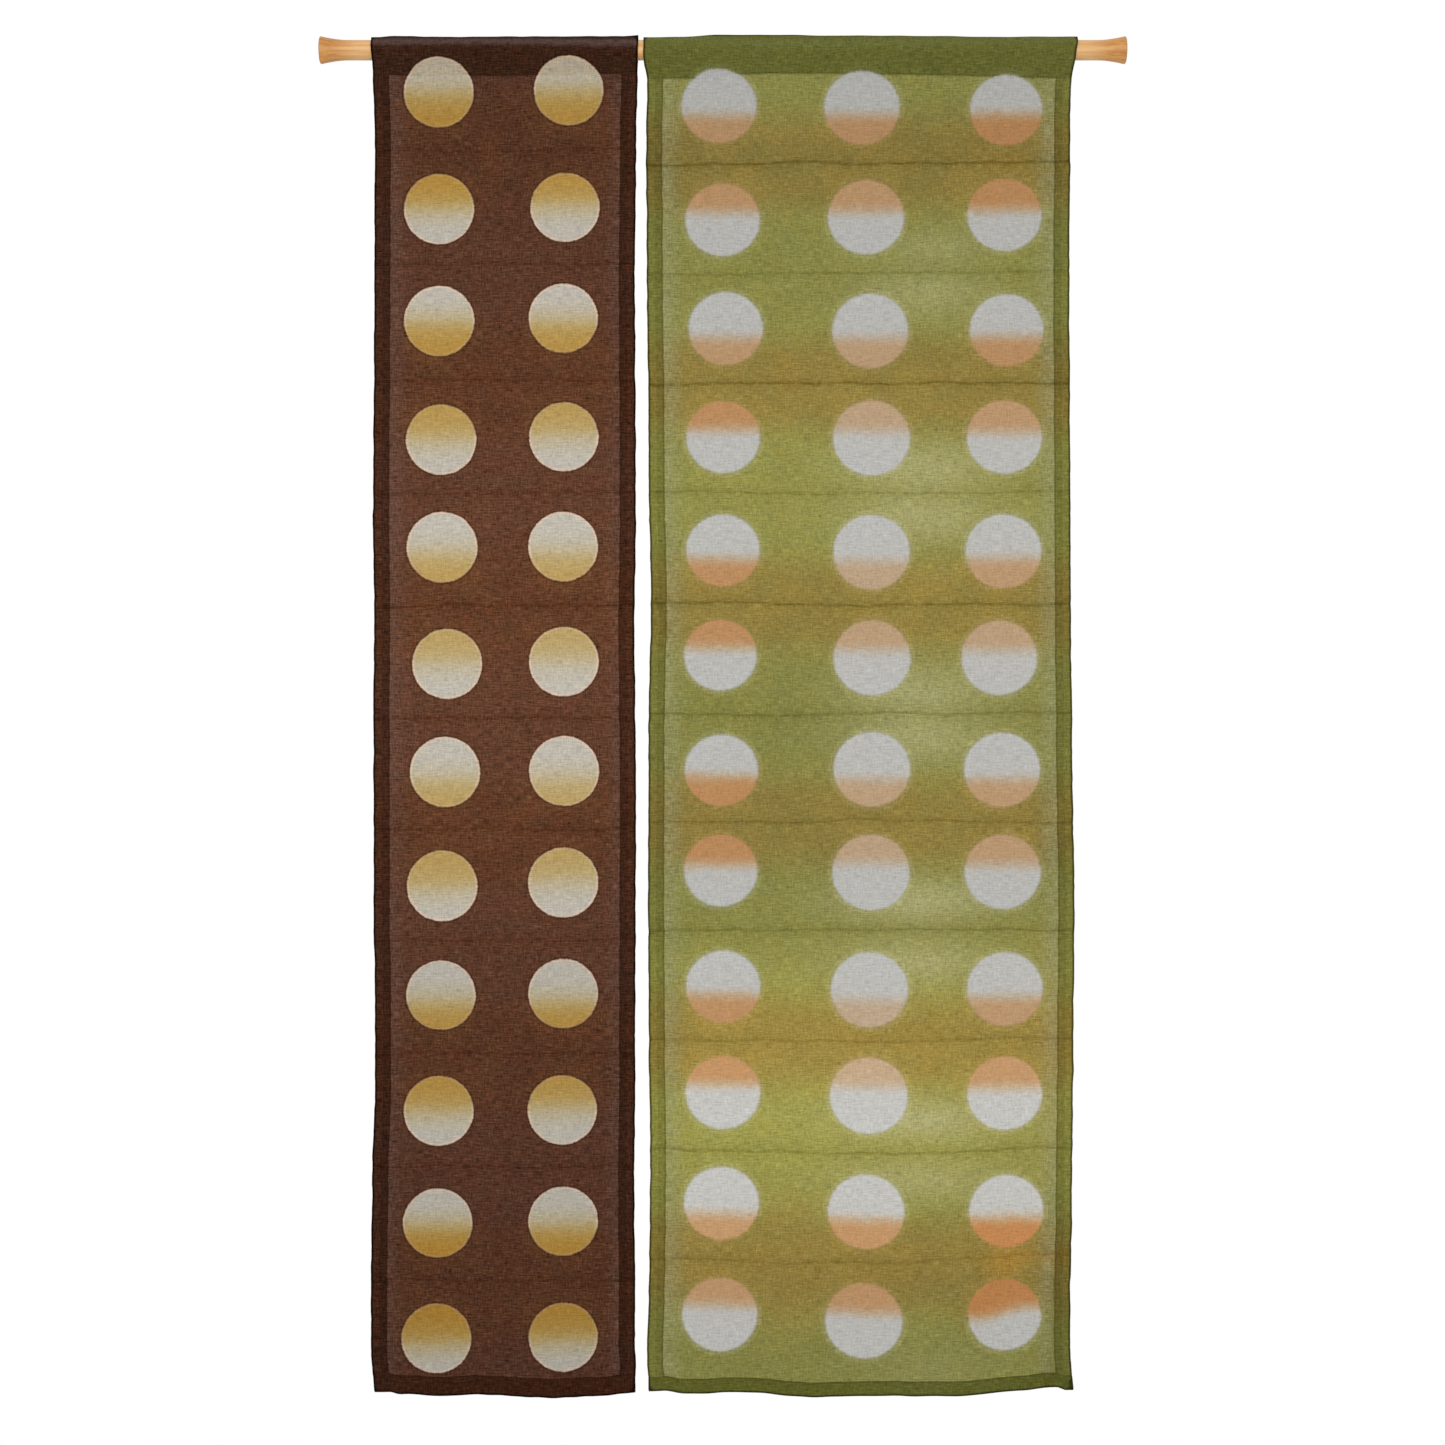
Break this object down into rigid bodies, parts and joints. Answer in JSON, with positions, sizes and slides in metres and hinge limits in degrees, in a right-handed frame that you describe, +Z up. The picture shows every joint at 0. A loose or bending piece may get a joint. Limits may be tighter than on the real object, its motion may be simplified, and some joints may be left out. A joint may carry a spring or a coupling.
{
  "type": "noren curtain on a wooden rod",
  "caption": "Noren of two dyed cloth panels, a narrow brown one and a wide green one with rows of soft two-tone dots, hanging from sewn pockets on a turned wooden rod.",
  "frame": {"origin": "on the rod's axis, halfway along it", "axes": "+X along the rod to the viewer's right, +Z up, -Y out of the cloth's front"},
  "size_m": [1.007, 0.034, 1.7024],
  "materials": {
    "rod_wood": "smooth, oiled pale wood",
    "brown_cloth": "open plain weave, dyed brown with rows of cream and ochre dots",
    "green_cloth": "open plain weave, dyed olive green with rows of white and peach dots"
  },
  "bodies": {
    "root": {"rod": "rod_wood", "brown_panel": "brown_cloth", "green_panel": "green_cloth"}
  },
  "joints": []
}
